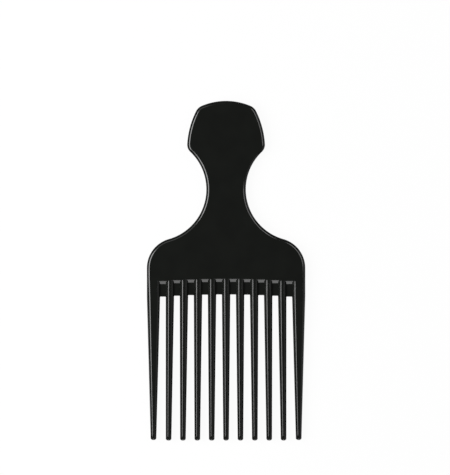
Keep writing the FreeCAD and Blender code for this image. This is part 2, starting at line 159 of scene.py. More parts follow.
def round_section(corners: Sequence[Corner], closed: bool) -> list[SectionPoint]:
    """Rounds every corner of a section that has facets, and keeps the others as they are.

    Args:
        corners: The sharp section, in order.
        closed: Whether the last corner joins the first.

    Returns:
        The points of the rounded section. Their number depends only on the facets asked for.
    """
    points = []
    last = len(corners) - 1
    for index, corner in enumerate(corners):
        at_end = not closed and index in (0, last)
        if at_end or not corner.facets:
            points.append(SectionPoint(corner.x, corner.z))
        else:
            points += round_corner(corners[index - 1], corner, corners[(index + 1) % len(corners)])
    return points


@dataclass(frozen=True)
class OutlinePoint:
    """A point of the handle's outline, with the direction out of the plastic there."""

    x: float
    y: float
    out_x: float
    out_y: float

    def mirrored(self) -> OutlinePoint:
        """The same point on the left side."""
        return OutlinePoint(-self.x, self.y, -self.out_x, self.out_y)


@dataclass(frozen=True)
class Arc:
    """An arc of the outline, bowed outwards or hollow."""

    centre: Vector
    radius: float
    start: float
    end: float
    fewest: int
    hollow: bool = False

    def points(self, step: float) -> list[OutlinePoint]:
        """Divides the arc evenly, into no fewer parts than it asks for.

        Args:
            step: The longest distance between two points.

        Returns:
            The points after the arc's start, up to its end.
        """
        count = max(self.fewest, math.ceil(abs(self.end - self.start) * self.radius / step))
        outward = -1.0 if self.hollow else 1.0
        found = []
        for angle in spaced(self.start, self.end, count):
            along = Vector((math.cos(angle), math.sin(angle)))
            place = self.centre + along * self.radius
            found.append(OutlinePoint(place.x, place.y, along.x * outward, along.y * outward))
        return found


def heading(start: Vector, end: Vector) -> float:
    """The direction from one point to another, as an angle from +X."""
    return math.atan2(end.y - start.y, end.x - start.x)


def upper_crossing(first: Vector, first_reach: float, second: Vector, second_reach: float) -> Vector:
    """Finds the point that lies at two given distances from two centres.

    Args:
        first: One centre.
        first_reach: The distance from it.
        second: The other centre.
        second_reach: The distance from that.

    Returns:
        The higher of the two such points.
    """
    between = second - first
    distance = between.length
    along = (distance**2 + first_reach**2 - second_reach**2) / (2 * distance)
    aside = math.sqrt(first_reach**2 - along**2)
    unit = between / distance
    foot = first + unit * along
    across = Vector((-unit.y, unit.x)) * aside
    return max(foot + across, foot - across, key=lambda point: point.y)


# Meshes


@dataclass
class MeshDraft:
    """A mesh while it is put together, in millimetres, with the marks that its points carry."""

    points: list[tuple[float, float, float]] = field(default_factory=list)
    faces: list[tuple[int, ...]] = field(default_factory=list)
    flat_faces: set[int] = field(default_factory=set)
    creases: list[tuple[int, int]] = field(default_factory=list)
    marks: dict[str, list[float]] = field(default_factory=lambda: {WEAR: [], LEAN: [], SAG: []})

    def add_point(self, x: float, y: float, z: float, wear: float = 0.0, lean: float = 0.0,
                  sag: float = 0.0) -> int:
        """Adds a point.

        Args:
            x: Its place across.
            y: Its place along.
            z: Its height.
            wear: How much it is rubbed in use.
            lean: How much of its tooth's lean it takes.
            sag: How much of the gullet line's arc it takes.

        Returns:
            Its number.
        """
        self.points.append((x, y, z))
        for name, value in ((WEAR, wear), (LEAN, lean), (SAG, sag)):
            self.marks[name].append(value)
        return len(self.points) - 1

    def add_band(self, first: Sequence[int], second: Sequence[int], closed: bool) -> None:
        """Joins two rows of points, which have the same number, with four-sided faces.

        Args:
            first: One row.
            second: The next row.
            closed: Whether the rows are rings.
        """
        count = len(first)
        for index in range(count if closed else count - 1):
            following = (index + 1) % count
            self.faces.append((first[index], first[following], second[following], second[index]))

    def add_cap(self, ring: Sequence[int]) -> None:
        """Closes a ring with one flat face that keeps sharp edges."""
        self.flat_faces.add(len(self.faces))
        self.faces.append(tuple(ring))

    def add_pole(self, ring: Sequence[int], pole: int) -> None:
        """Closes a ring with a fan of faces round one point."""
        for index, point in enumerate(ring):
            self.faces.append((point, ring[(index + 1) % len(ring)], pole))

    def make_object(self, name: str) -> Object:
        """Makes the mesh and its object, with every face turned outwards.

        Args:
            name: The piece's name.

        Returns:
            The object, at the origin, with its place in its mesh.
        """
        mesh = bpy.data.meshes.new(name)
        points = [tuple(MM * value for value in point) for point in self.points]
        mesh.from_pydata(points, [], self.faces)
        for polygon in mesh.polygons:
            polygon.use_smooth = polygon.index not in self.flat_faces
        for mark, values in self.marks.items():
            mesh.attributes.new(mark, "FLOAT", "POINT").data.foreach_set("value", values)
        shell = bmesh.new()
        shell.from_mesh(mesh)
        bmesh.ops.recalc_face_normals(shell, faces=shell.faces)
        shell.verts.ensure_lookup_table()
        sharp = [edge for face in shell.faces if not face.smooth for edge in face.edges]
        for first, last in self.creases:
            sharp.append(shell.edges.get((shell.verts[first], shell.verts[last])))
        for edge in sharp:
            edge.smooth = False
        shell.to_mesh(mesh)
        shell.free()
        mesh.validate()
        piece = bpy.data.objects.new(name, mesh)
        bpy.context.scene.collection.objects.link(piece)
        return piece


def install(piece: Object, nodes: Sequence[str]) -> None:
    """Puts a finished piece in the place of the CAD nodes that it stands for.

    Args:
        piece: The finished piece. Of its marks it keeps the wear, which its material reads.
        nodes: The names of those nodes.
    """
    for name in (LEAN, SAG, PLACE):
        mark = piece.data.attributes.get(name)
        if mark is not None:
            piece.data.attributes.remove(mark)
    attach(piece, BODY)
    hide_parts(*nodes)
    LOG.info("%s: %d faces, in the place of %d nodes", piece.name, len(piece.data.polygons), len(nodes))


# The moulding


@dataclass(frozen=True)
class Moulding:
    """Sizes that the handle, the teeth and the webs share."""

    thickness: float = 5.0
    handle_length: float = 88.2091
    tooth_length: float = 81.15
    tooth_pitch: float = 7.0
    tip_pitch: float = 7.17
    half_width: float = 39.5
    gullet_drop: float = 0.45
    gullet_arc: float = 455.0
    stub_length: float = 9.4217
    edge_bevel: float = 1.2
    flank_slope: float = 0.86
    edge_rounding: float = 1.3
    land_rounding: float = 0.15
    parting_height: float = 0.04
    parting_half_width: float = 0.14

    @property
    def top_level(self) -> float:
        """Where the top of the handle is."""
        return (self.handle_length + self.tooth_length) / 2

    @property
    def bridge_level(self) -> float:
        """Where the plate ends and the teeth begin."""
        return self.top_level - self.handle_length

    @property
    def middle(self) -> float:
        """The height of the parting plane."""
        return self.thickness / 2

    def sag(self, x: float) -> float:
        """How far the arc along the gullets has dropped at a distance from the middle."""
        return self.gullet_arc - math.sqrt(self.gullet_arc**2 - x**2)


@dataclass
class HandlePlate:
    """The head, the waisted neck and the shoulders, moulded as one bevelled plate."""

    moulding: Moulding
    shoulder_side: float = 4.9
    shoulder_radius: float = 15.0
    neck_width: float = 19.7
    neck_radius: float = 25.75
    waist_from_top: float = 44.1
    head_width: float = 38.95
    head_side_radius: float = 42.5
    head_wide_drop: float = 24.15
    head_top_radius: float = 31.2
    head_top_corner: float = 5.7
    head_lower_corner: float = 5.0
    outline_step: float = 0.8
    long_divisions: int = 24
    corner_divisions: int = 10
    top_divisions: int = 12
    side_stations: tuple[float, ...] = (0.0, 0.15, 0.5, 1.0)
    face_support: float = 0.12
    edge_facets: int = 8
    land_facets: int = 4
    edge_rub: float = 1.0
    land_rub: float = 0.4

    def right_outline(self) -> list[OutlinePoint]:
        """Follows the right side of the plate from the teeth up to the middle of the top."""
        top, foot = self.moulding.top_level, self.moulding.bridge_level
        half = self.moulding.half_width
        shoulder = Vector((half - self.shoulder_radius, foot + self.shoulder_side))
        neck = Vector((self.neck_width / 2 + self.neck_radius, top - self.waist_from_top))
        side = Vector((self.head_width / 2 - self.head_side_radius, top - self.head_wide_drop))
        crown = Vector((0.0, top - self.head_top_radius))
        lower = upper_crossing(
            side, self.head_side_radius - self.head_lower_corner,
            neck, self.neck_radius + self.head_lower_corner)
        upper = upper_crossing(
            side, self.head_side_radius - self.head_top_corner,
            crown, self.head_top_radius - self.head_top_corner)
        rise = heading(shoulder, neck)
        corner_start = heading(lower, neck)
        corner_end, top_start = heading(side, lower), heading(side, upper)
        top_end = heading(crown, upper)
        half_turn, long, short = math.pi, self.long_divisions, self.corner_divisions
        arcs = (
            Arc(shoulder, self.shoulder_radius, 0.0, rise, long),
            Arc(neck, self.neck_radius, rise + half_turn, corner_start + half_turn, long, hollow=True),
            Arc(lower, self.head_lower_corner, corner_start, corner_end, short),
            Arc(side, self.head_side_radius, corner_end, top_start, long),
            Arc(upper, self.head_top_corner, top_start, top_end, self.top_divisions),
            Arc(crown, self.head_top_radius, top_end, half_turn / 2, self.top_divisions),
        )
        points = [
            OutlinePoint(half, foot + self.shoulder_side * share, 1.0, 0.0)
            for share in self.side_stations
        ]
        for arc in arcs:
            points += arc.points(self.outline_step)
        return points

    def edge_section(self) -> list[SectionPoint]:
        """The section through the plate's edge, from the front face to the back.

        Returns:
            Points whose x is the distance in from the outline, and z the height over the parting plane.
        """
        sizes = self.moulding
        face, ridge, bevel = sizes.middle, sizes.parting_height, sizes.edge_bevel
        # The flat face starts past the rounding, which sets in as for a slope of 45 degrees.
        inner = bevel + sizes.edge_rounding * math.tan(math.pi / 8) + self.face_support
        land = face - (bevel - ridge) * sizes.flank_slope
        upper = [
            Corner(inner, face),
            Corner(bevel, face, sizes.edge_rounding, self.edge_facets, wear=self.edge_rub),
            Corner(ridge, land, sizes.land_rounding, self.land_facets, wear=self.land_rub),
            Corner(ridge, sizes.parting_half_width),
        ]
        lower = [corner.lowered() for corner in reversed(upper)]
        return round_section([*upper, Corner(0.0, 0.0), *lower], closed=False)

    def build(self) -> Object:
        """Wraps the edge section round the outline and closes the two faces and the foot."""
        draft = MeshDraft()
        middle = self.moulding.middle
        right = self.right_outline()
        outline = right + [point.mirrored() for point in reversed(right[:-1])]
        section = self.edge_section()
        rows = []
        for point in outline:
            rows.append([
                draft.add_point(
                    point.x - point.out_x * edge.x, point.y - point.out_y * edge.x, middle + edge.z,
                    wear=edge.wear)
                for edge in section
            ])
        for first, second in zip(rows, rows[1:]):
            draft.add_band(first, second, closed=False)
        top = len(right) - 1
        for face in (0, -1):
            for index in range(top - 1):
                here, there = rows[index][face], rows[index + 1][face]
                draft.faces.append((here, there, rows[-2 - index][face], rows[-1 - index][face]))
            draft.faces.append((rows[top - 1][face], rows[top][face], rows[top + 1][face]))
        draft.add_cap([*rows[0], *reversed(rows[-1])])
        return draft.make_object("handle_plate")

    def dress(self, piece: Object, plastic: Material) -> None:
        """Gives the plate its finish and puts it in place."""
        piece.data.materials.append(plastic)
        install(piece, ("grip_head", "neck", "bridge"))


@dataclass(frozen=True)
class ToothEdge:
    """One side of a tooth's section."""

    flank: float
    land: float
    rounding: float
    starts_at_gullet: bool = True
    first_rounding: float = 0.003

    def towards(self, other: ToothEdge, share: float) -> ToothEdge:
        """An edge part of the way to another one."""
        return replace(
            self, flank=blend(self.flank, other.flank, share), land=blend(self.land, other.land, share),
            rounding=blend(self.rounding, other.rounding, share))

    def opened(self, share: float) -> ToothEdge:
        """The edge beside a gullet, where its rounding is only starting."""
        if not self.starts_at_gullet:
            return self
        return replace(self, rounding=blend(self.first_rounding, self.rounding, share))


@dataclass(frozen=True)
class ToothSection:
    """An eight-sided section of a tooth, centred on its own axis."""

    width: float
    depth: float
    left: ToothEdge
    right: ToothEdge
    land_rounding_share: float = 0.7
    land_facets: int = 3
    edge_facets: int = 6
    edge_support: float = 0.07
    land_rub: float = 0.3
    edge_rub: float = 1.0

    def towards(self, other: ToothSection, share: float) -> ToothSection:
        """A section part of the way to another one."""
        return replace(
            self, width=blend(self.width, other.width, share),
            depth=blend(self.depth, other.depth, share),
            left=self.left.towards(other.left, share), right=self.right.towards(other.right, share))

    def opened(self, share: float) -> ToothSection:
        """The section where the rounding of the edges by the gullets is only starting."""
        return replace(self, left=self.left.opened(share), right=self.right.opened(share))

    def ring(self, sizes: Moulding) -> list[SectionPoint]:
        """Rounds the section.

        Args:
            sizes: The moulding that the tooth belongs to.

        Returns:
            The ring of points, from the front left edge over the front.
        """
        left_upper = self._side(Side.LEFT, self.left, sizes)
        right_upper = self._side(Side.RIGHT, self.right, sizes)
        half = self.width / 2
        corners = [
            *left_upper,
            *reversed(right_upper),
            Corner(half, 0.0),
            *(corner.lowered() for corner in right_upper),
            *(corner.lowered() for corner in reversed(left_upper)),
            Corner(-half, 0.0),
        ]
        return round_section(corners, closed=True)

    def _side(self, side: Side, edge: ToothEdge, sizes: Moulding) -> list[Corner]:
        """Places the upper corners on one side.

        Args:
            side: Which side.
            edge: The tooth's edge there.
            sizes: The moulding that the tooth belongs to.

        Returns:
            The corners, from the parting line to the front face.
        """
        sign, half, ridge = side.value, self.width / 2, sizes.parting_height
        land = self.depth / 2 - (self.depth - edge.land) / 2 * sizes.flank_slope
        return [
            Corner(sign * (half - ridge), sizes.parting_half_width),
            Corner(
                sign * (half - ridge), land, sizes.land_rounding * self.land_rounding_share,
                self.land_facets, wear=self.land_rub),
            Corner(
                sign * (half - edge.flank), self.depth / 2, edge.rounding,
                self.edge_facets, self.edge_support, self.edge_rub),
        ]


@dataclass(frozen=True)
class Tooth:
    """A tooth with a straight stub beside the gullets, a long taper and a blunt, rounded end."""

    moulding: Moulding
    root: ToothSection
    stub: ToothSection
    tip: ToothSection
    length: float
    gullet_top: float
    opening_lead: float = 0.02
    opening_run: float = 0.4
    end_rounding: float = 1.25
    end_flat_radius: float = 0.25
    end_slope_length: float = 3.4
    end_slope_share: float = 0.55
    opening_rings: int = 5
    stub_rings: int = 4
    taper_rings: int = 12
    slope_rings: int = 8
    end_rings: int = 9
    tip_rub: float = 0.5

    def levels(self) -> list[float]:
        """The distances below the bridge at which the tooth has a ring."""
        start = self.gullet_top - self.opening_lead
        opened = start + self.opening_run
        stub = self.moulding.stub_length
        slope, shoulder = self.length - self.end_slope_length, self.length - self.end_rounding
        rounded = [
            self.length - self.end_rounding * (1.0 - math.cos(angle))
            for angle in spaced(math.pi / 2, 0.0, self.end_rings)
        ]
        return [
            0.0, start,
            *spaced(start, opened, self.opening_rings), *spaced(opened, stub, self.stub_rings),
            *spaced(stub, slope, self.taper_rings), *spaced(slope, shoulder, self.slope_rings), *rounded,
        ]

    def section_at(self, level: float) -> ToothSection:
        """The section at a distance below the bridge."""
        stub = self.moulding.stub_length
        if level <= stub:
            section = self.root.towards(self.stub, level / stub)
            return section.opened(ease((level - self.gullet_top) / self.opening_run))
        return self.stub.towards(self.tip, self.taper_share(level))

    def taper_share(self, level: float) -> float:
        """How much of the taper is done at a distance below the bridge."""
        stub = self.moulding.stub_length
        return max(0.0, (level - stub) / (self.length - stub))

    def sag_share(self, level: float) -> float:
        """How much of the gullet line's arc a ring takes: all of it where the rounding starts."""
        if level <= 0.0:
            return 0.0
        opened = self.gullet_top + self.opening_run
        return 1.0 - ease((level - opened) / (self.moulding.stub_length - opened))

    def reach_at(self, to_tip: float) -> float:
        """How far from its axis the tooth may reach at a distance before its tip."""
        if to_tip >= self.end_rounding:
            return math.inf
        past_shoulder = self.end_rounding - to_tip
        return self.end_flat_radius + math.sqrt(self.end_rounding**2 - past_shoulder**2)

    def depth_share(self, to_tip: float) -> float:
        """How much of its depth the tooth keeps at a distance before its tip."""
        slope = max(0.0, 1.0 - to_tip / self.end_slope_length)
        return 1.0 - self.end_slope_share * slope**2

    def loft(self, draft: MeshDraft, centre: float) -> None:
        """Adds the tooth to a mesh.

        Args:
            draft: The mesh.
            centre: Where the tooth's axis is, across.
        """
        sizes = self.moulding
        rings = []
        for level in self.levels():
            to_tip = self.length - level
            reach, depth_share = self.reach_at(to_tip), self.depth_share(to_tip)
            ring = []
            for point in self.section_at(level).ring(sizes):
                height = point.z * depth_share
                pull = min(1.0, reach / math.hypot(point.x, height))
                ring.append(draft.add_point(
                    centre + point.x * pull, sizes.bridge_level - level, sizes.middle + height * pull,
                    point.wear, self.taper_share(level), self.sag_share(level)))
            rings.append(ring)
        draft.add_cap(rings[0])
        for first, second in zip(rings, rings[1:]):
            draft.add_band(first, second, closed=True)
        pole = draft.add_point(
            centre, sizes.bridge_level - self.length, sizes.middle, wear=self.tip_rub, lean=1.0)
        draft.add_pole(rings[-1], pole)


# Nodes


def plug(tree: NodeTree, value: object, socket: NodeSocket) -> None:
    """Links a socket to another socket, or sets it to a number or vector.

    Args:
        tree: Where the socket is.
        value: A socket, or a plain value.
        socket: The socket to feed.
    """
    if isinstance(value, NodeSocket):
        tree.links.new(value, socket)
    else:
        socket.default_value = value


def add_node(tree: NodeTree, kind: str, inputs: dict[str | int, object],
             result: str | int = 0, **settings: object) -> NodeSocket:
    """Adds a node and feeds it.

    Args:
        tree: Where it goes.
        kind: Its type.
        inputs: What its inputs get, each a socket or a plain value.
        result: Which of its outputs is wanted.
        **settings: Its own settings.

    Returns:
        The socket of that output.
    """
    node = tree.nodes.new(kind)
    for name, setting in settings.items():
        setattr(node, name, setting)
    for socket, value in inputs.items():
        plug(tree, value, node.inputs[socket])
    return node.outputs[result]


def work_out(tree: NodeTree, operation: str, *values: object) -> NodeSocket:
    """Adds a sum of values, each a socket or a number, and gives its result."""
    return add_node(tree, "ShaderNodeMath", dict(enumerate(values)), operation=operation)


# Rows


@dataclass(frozen=True)
class RowOnArc:
    """A Geometry Nodes tree that repeats a shape across the pick, with its lean and its arc."""

    name: str = "row_on_arc"

    def tree(self) -> GeometryNodeTree:
        """The tree, built the first time it is asked for."""
        return bpy.data.node_groups.get(self.name) or self._build()

    def _build(self) -> GeometryNodeTree:
        """Builds the tree.

        Returns:
            The tree, with the row's sizes as its named inputs.
        """
        tree = bpy.data.node_groups.new(self.name, "GeometryNodeTree")
        tree.interface.new_socket("Geometry", in_out="OUTPUT", socket_type="NodeSocketGeometry")
        for name, kind in (
            ("Geometry", "NodeSocketGeometry"), ("Count", "NodeSocketInt"), ("Pitch", "NodeSocketFloat"),
            ("Tip Pitch", "NodeSocketFloat"), ("Arc Radius", "NodeSocketFloat"),
            ("Material", "NodeSocketMaterial"),
        ):
            tree.interface.new_socket(name, in_out="INPUT", socket_type=kind)
        given = tree.nodes.new("NodeGroupInput").outputs
        middle = work_out(tree, "MULTIPLY", work_out(tree, "SUBTRACT", given["Count"], 1.0), 0.5)
        place = work_out(tree, "SUBTRACT", add_node(tree, "GeometryNodeInputIndex", {}), middle)
        row = add_node(
            tree, "GeometryNodeMeshLine", {"Count": given["Count"], "Offset": (0.0, 0.0, 0.0)})
        row = add_node(
            tree, "GeometryNodeStoreNamedAttribute", {"Geometry": row, "Name": PLACE, "Value": place},
            data_type="FLOAT", domain="POINT")
        for kind, inputs in (
            ("InstanceOnPoints", {"Instance": given["Geometry"]}),
            ("RealizeInstances", {}),
            ("SetPosition", {"Offset": self._shift(tree, given)}),
            ("SetMaterial", {"Material": given["Material"]}),
        ):
            row = add_node(tree, f"GeometryNode{kind}", {0: row, **inputs})
        tree.links.new(row, tree.nodes.new("NodeGroupOutput").inputs["Geometry"])
        return tree

    @staticmethod
    def _shift(tree: GeometryNodeTree, given: NodeOutputs) -> NodeSocket:
        """Works out how far each point moves from the first shape to its place in the row.

        Args:
            tree: The tree.
            given: The sockets of the tree's inputs.

        Returns:
            The socket with the shift.
        """
        place, lean, sag = (
            add_node(tree, "GeometryNodeInputNamedAttribute", {"Name": mark}, data_type="FLOAT")
            for mark in (PLACE, LEAN, SAG))
        across = work_out(tree, "MULTIPLY", place, given["Pitch"])
        splay = work_out(tree, "SUBTRACT", given["Tip Pitch"], given["Pitch"])
        leaning = work_out(tree, "MULTIPLY", work_out(tree, "MULTIPLY", place, splay), lean)
        radius = given["Arc Radius"]
        squares = work_out(
            tree, "SUBTRACT", work_out(tree, "MULTIPLY", radius, radius),
            work_out(tree, "MULTIPLY", across, across))
        drop = work_out(tree, "SUBTRACT", work_out(tree, "SQRT", squares, 0.0), radius)
        return add_node(tree, "ShaderNodeCombineXYZ", {
            "X": work_out(tree, "ADD", across, leaning), "Y": work_out(tree, "MULTIPLY", drop, sag)})

    def repeat(self, piece: Object, count: int, sizes: Moulding, plastic: Material) -> None:
        """Repeats a piece's shape and makes the whole row the piece's own plain mesh.

        Args:
            piece: The first shape, on the middle line.
            count: How many there are.
            sizes: The moulding that the row belongs to.
            plastic: Their finish.
        """
        row = piece.modifiers.new(self.name, "NODES")
        row.node_group = self.tree()
        values = {
            "Count": count, "Pitch": sizes.tooth_pitch * MM, "Tip Pitch": sizes.tip_pitch * MM,
            "Arc Radius": sizes.gullet_arc * MM, "Material": plastic,
        }
        for socket in row.node_group.interface.items_tree:
            if socket.in_out == "INPUT" and socket.name in values:
                row[socket.identifier] = values[socket.name]
        evaluated = bpy.context.evaluated_depsgraph_get()
        mesh = bpy.data.meshes.new_from_object(
            piece.evaluated_get(evaluated), preserve_all_data_layers=True, depsgraph=evaluated)
        piece.modifiers.remove(row)
        seed = piece.data
        piece.data = mesh
        bpy.data.meshes.remove(seed)
        mesh.name = piece.name


@dataclass
class ToothRow:
    """The nine slim teeth, and the sections that all the teeth share."""

    moulding: Moulding
    count: int = 9
    root_width: float = 4.2
    root_flat: float = 1.25
    root_land: float = 2.25
    root_rounding: float = 0.8
    tip_width: float = 2.8
    tip_flat: float = 0.65
    tip_depth: float = 2.8
    tip_rounding: float = 0.43

    def inner_edge(self) -> ToothEdge:
        """The edge of a tooth beside a gullet."""
        flank = (self.root_width - self.root_flat) / 2
        return ToothEdge(flank, self.root_land, self.root_rounding)

    def tip_section(self) -> ToothSection:
        """The section to which every tooth tapers."""
        flank = (self.tip_width - self.tip_flat) / 2
        edge = ToothEdge(flank, self.tip_depth - 2 * flank, self.tip_rounding)
        return ToothSection(self.tip_width, self.tip_depth, edge, edge)

    def build(self) -> Object:
        """Makes the tooth on the middle line, from which the row is repeated."""
        edge = self.inner_edge()
        root = ToothSection(self.root_width, self.moulding.thickness, edge, edge)
        draft = MeshDraft()
        tooth = Tooth(
            self.moulding, root, root, self.tip_section(), self.moulding.tooth_length,
            self.moulding.gullet_drop)
        tooth.loft(draft, 0.0)
        return draft.make_object("slim_teeth")

    def dress(self, piece: Object, plastic: Material) -> None:
        """Repeats the tooth along the row in its finish and puts the row in place."""
        RowOnArc().repeat(piece, self.count, self.moulding, plastic)
        install(piece, [f"tooth_{number:02d}" for number in range(2, 2 + self.count)])


@dataclass
class EndTooth:
    """One of the two broad outer teeth, whose outer edge carries on the plate's bevel."""

    moulding: Moulding
    row: ToothRow
    side: Side
    width: float = 6.6
    stub_flank: float = 1.5
    trim: float = 0.25
    gullet_line: float = 31.5

    def section(self, outer_flank: float) -> ToothSection:
        """The broad section beside the gullets.

        Args:
            outer_flank: How wide the flank on the outer side slopes.

        Returns:
            The section.
        """
        sizes = self.moulding
        outer = ToothEdge(
            outer_flank, sizes.thickness - 2 * outer_flank, sizes.edge_rounding, starts_at_gullet=False)
        inner = self.row.inner_edge()
        left, right = (outer, inner) if self.side is Side.LEFT else (inner, outer)
        return ToothSection(self.width, sizes.thickness, left, right)

    def build(self) -> Object:
        """Makes the tooth in its place."""
        sizes = self.moulding
        draft = MeshDraft()
        tooth = Tooth(
            sizes, self.section(sizes.edge_bevel), self.section(self.stub_flank), self.row.tip_section(),
            sizes.tooth_length - self.trim, sizes.gullet_drop + sizes.sag(self.gullet_line))
        tooth.loft(draft, self.side.value * (sizes.half_width - self.width / 2))
        return draft.make_object(f"end_tooth_{self.side.name.lower()}")

    def dress(self, piece: Object, plastic: Material) -> None:
        """Gives the tooth its finish and puts it in place."""
        piece.data.materials.append(plastic)
        install(piece, ["tooth_01" if self.side is Side.LEFT else "tooth_11"])


@dataclass
class GulletWebs:
    """The ten webs between the tooth roots, each with a ramp up to the bridge on both faces."""

    moulding: Moulding
    count: int = 10
    slot_width: float = 2.8
    tooth_land: float = 2.25
    web_thickness: float = 1.6
    length: float = 7.88
    step: float = 0.75
    step_run: float = 0.08
    step_rounding: float = 0.12
    ramp: float = 1.65
    ramp_foot_rounding: float = 0.9
    end_rounding: float = 0.35
    slot_corner: float = 0.42
    lap: float = 0.12
    step_facets: int = 4
    step_support: float = 0.03
    ramp_facets: int = 6
    ramp_support: float = 0.1
    end_facets: int = 5
    end_support: float = 0.05
    waist_share: float = 0.6
    columns: tuple[float, ...] = (0.3, 0.62, 0.74, 0.84, 0.93, 1.0)

    def profile(self) -> list[SectionPoint]:
        """The web's half thickness along its length.

        Returns:
            Points whose x is the distance below the bridge and whose z is the half thickness.
        """
        top = self.moulding.gullet_drop
        face, web = self.moulding.thickness / 2, self.web_thickness / 2
        end = top + self.length
        step = (self.step_rounding, self.step_facets, self.step_support)
        points = round_section([
            Corner(0.0, face),
            Corner(top, face, *step),
            Corner(top + self.step_run, face - self.step, *step),
            Corner(top + self.ramp, web, self.ramp_foot_rounding, self.ramp_facets, self.ramp_support),
            Corner(end, web, self.end_rounding, self.end_facets, self.end_support),
            Corner(end, 0.0),
        ], closed=False)
        # The last two points lie in the web's upright end, which is closed from the front to the back.
        return points[:-2]

    def half_width(self, half_thickness: float) -> float:
        """How far the web reaches to each side where it has a given half thickness."""
        return self.slot_width / 2 + max(0.0, half_thickness - self.tooth_land / 2) + self.lap

    def corner_drop(self, share: float, half_width: float) -> float:
        """How much further the slot's rounded corner brings the web down beside a tooth."""
        into = abs(share) * half_width - (half_width - self.slot_corner)
        if into <= 0.0:
            return 0.0
        return self.slot_corner - math.sqrt(max(0.0, self.slot_corner**2 - into**2))

    def build(self) -> Object:
        """Makes the web on the middle line, from which the row is repeated."""
        draft = MeshDraft()
        sizes = self.moulding
        profile = self.profile()
        bend = profile[-1].x - 2 * self.end_rounding
        shares = [*(-share for share in reversed(self.columns)), *self.columns]
        rings = []
        for station in profile:
            half = self.half_width(station.z)
            waist = min(self.tooth_land / 2, self.waist_share * station.z)
            drops = [self.corner_drop(share, half) if station.x > bend else 0.0 for share in shares]
            front = [(share * half, station.x + drop, station.z) for share, drop in zip(shares, drops)]
            back = [(x, y, -z) for x, y, z in reversed(front)]
            narrow, low = self.slot_width / 2 + self.lap, station.x + drops[0]
            right = [(narrow, low, waist), (narrow, low, -waist)]
            left = [(-x, y, -z) for x, y, z in right]
            sag = 1.0 if station.x > 0.0 else 0.0
            rings.append([
                draft.add_point(x, sizes.bridge_level - y, sizes.middle + z, sag=sag)
                for x, y, z in (*front, *right, *back, *left)
            ])
        draft.add_cap(rings[0])
        front_corners, back_corners = (0, len(shares) - 1), (len(shares) + 2, 2 * len(shares) + 1)
        for first, second in zip(rings, rings[1:]):
            draft.add_band(first, second, closed=True)
            draft.creases += [(first[corner], second[corner]) for corner in front_corners + back_corners]
        self.close_slot_end(draft, rings[-1], len(shares))
        return draft.make_object("gullet_webs")

    @staticmethod
    def close_slot_end(draft: MeshDraft, ring: Sequence[int], columns: int) -> None:
        """Closes the web's lower end with upright strips that follow the slot's rounded corners.

        Args:
            draft: The mesh.
            ring: The web's last ring: its front, right side, back and left side.
            columns: How many points the front has.
        """
        front, right = ring[:columns], ring[columns:columns + 2]
        back, left = ring[columns + 2:2 * columns + 2], ring[2 * columns + 2:]
        draft.add_cap([*left, front[0], front[1], back[-2], back[-1]])
        for index in range(1, columns - 2):
            draft.add_cap([front[index], front[index + 1], back[-2 - index], back[-1 - index]])
        draft.add_cap([front[-2], front[-1], *right, back[0], back[1]])

    def dress(self, piece: Object, plastic: Material) -> None:
        """Repeats the web along the row in its finish and puts the row in place."""
        RowOnArc().repeat(piece, self.count, self.moulding, plastic)
        install(piece, [f"gullet_web_{number:02d}" for number in range(1, 1 + self.count)])


# Finishes


class Socket(Enum):
    """The kinds of socket on a shader group."""

    VALUE = "NodeSocketFloat"
    VECTOR = "NodeSocketVector"


@dataclass
class ShaderGroup:
    """A shader node group while its nodes are added."""

    name: str
    inputs: dict[str, Socket]
    outputs: tuple[str, ...]

    def start(self) -> tuple[ShaderNodeTree, NodeOutputs, NodeInputs]:
        """Makes the group with its named sockets.

        Returns:
            The group's tree, the sockets that it is given and the sockets of its results.
        """
        tree = bpy.data.node_groups.new(self.name, "ShaderNodeTree")
        for name, kind in self.inputs.items():
            tree.interface.new_socket(name, in_out="INPUT", socket_type=kind.value)
        for name in self.outputs:
            tree.interface.new_socket(name, in_out="OUTPUT", socket_type=Socket.VALUE.value)
        given = tree.nodes.new("NodeGroupInput").outputs
        return tree, given, tree.nodes.new("NodeGroupOutput").inputs


def noise(tree: NodeTree, vector: NodeSocket, scale: object, detail: float,
          rough: float = 0.5) -> NodeSocket:
    """Adds a noise texture.

    Args:
        tree: Where it goes.
        vector: What it is mapped by.
        scale: Its scale, a socket or a number.
        detail: How many octaves it has.
        rough: How strong the fine octaves are.

    Returns:
        The socket with its value.
    """
    return add_node(tree, "ShaderNodeTexNoise", {
        "Vector": vector, "Scale": scale, "Detail": detail, "Roughness": rough})


def spread(tree: NodeTree, value: NodeSocket, low: float, high: float,
           to_low: float = 0.0, to_high: float = 1.0) -> NodeSocket:
    """Maps a range of values to another one, held at both ends.

    Args:
        tree: Where the node goes.
        value: The value.
        low: The lower end of its range.
        high: The upper end of its range.
        to_low: What the lower end becomes.
        to_high: What the upper end becomes.

    Returns:
        The socket with the result.
    """
    return add_node(tree, "ShaderNodeMapRange", {
        "Value": value, "From Min": low, "From Max": high, "To Min": to_low, "To Max": to_high})


def moulded_skin() -> None:
    """The skin of injection-moulded plastic: a soft ripple under a fine orange peel."""
    peel_share = 0.3
    group = ShaderGroup(
        "moulded_skin",
        {"Vector": Socket.VECTOR, "Peel Scale": Socket.VALUE, "Ripple Scale": Socket.VALUE},
        ("Height", "Mottle"))
    tree, given, result = group.start()
    peel = noise(tree, given["Vector"], given["Peel Scale"], detail=2.0)
    ripple = noise(tree, given["Vector"], given["Ripple Scale"], detail=1.0)
    height = work_out(tree, "MULTIPLY_ADD", peel, peel_share, ripple)
    tree.links.new(height, result["Height"])
    tree.links.new(spread(tree, ripple, low=0.3, high=0.7), result["Mottle"])


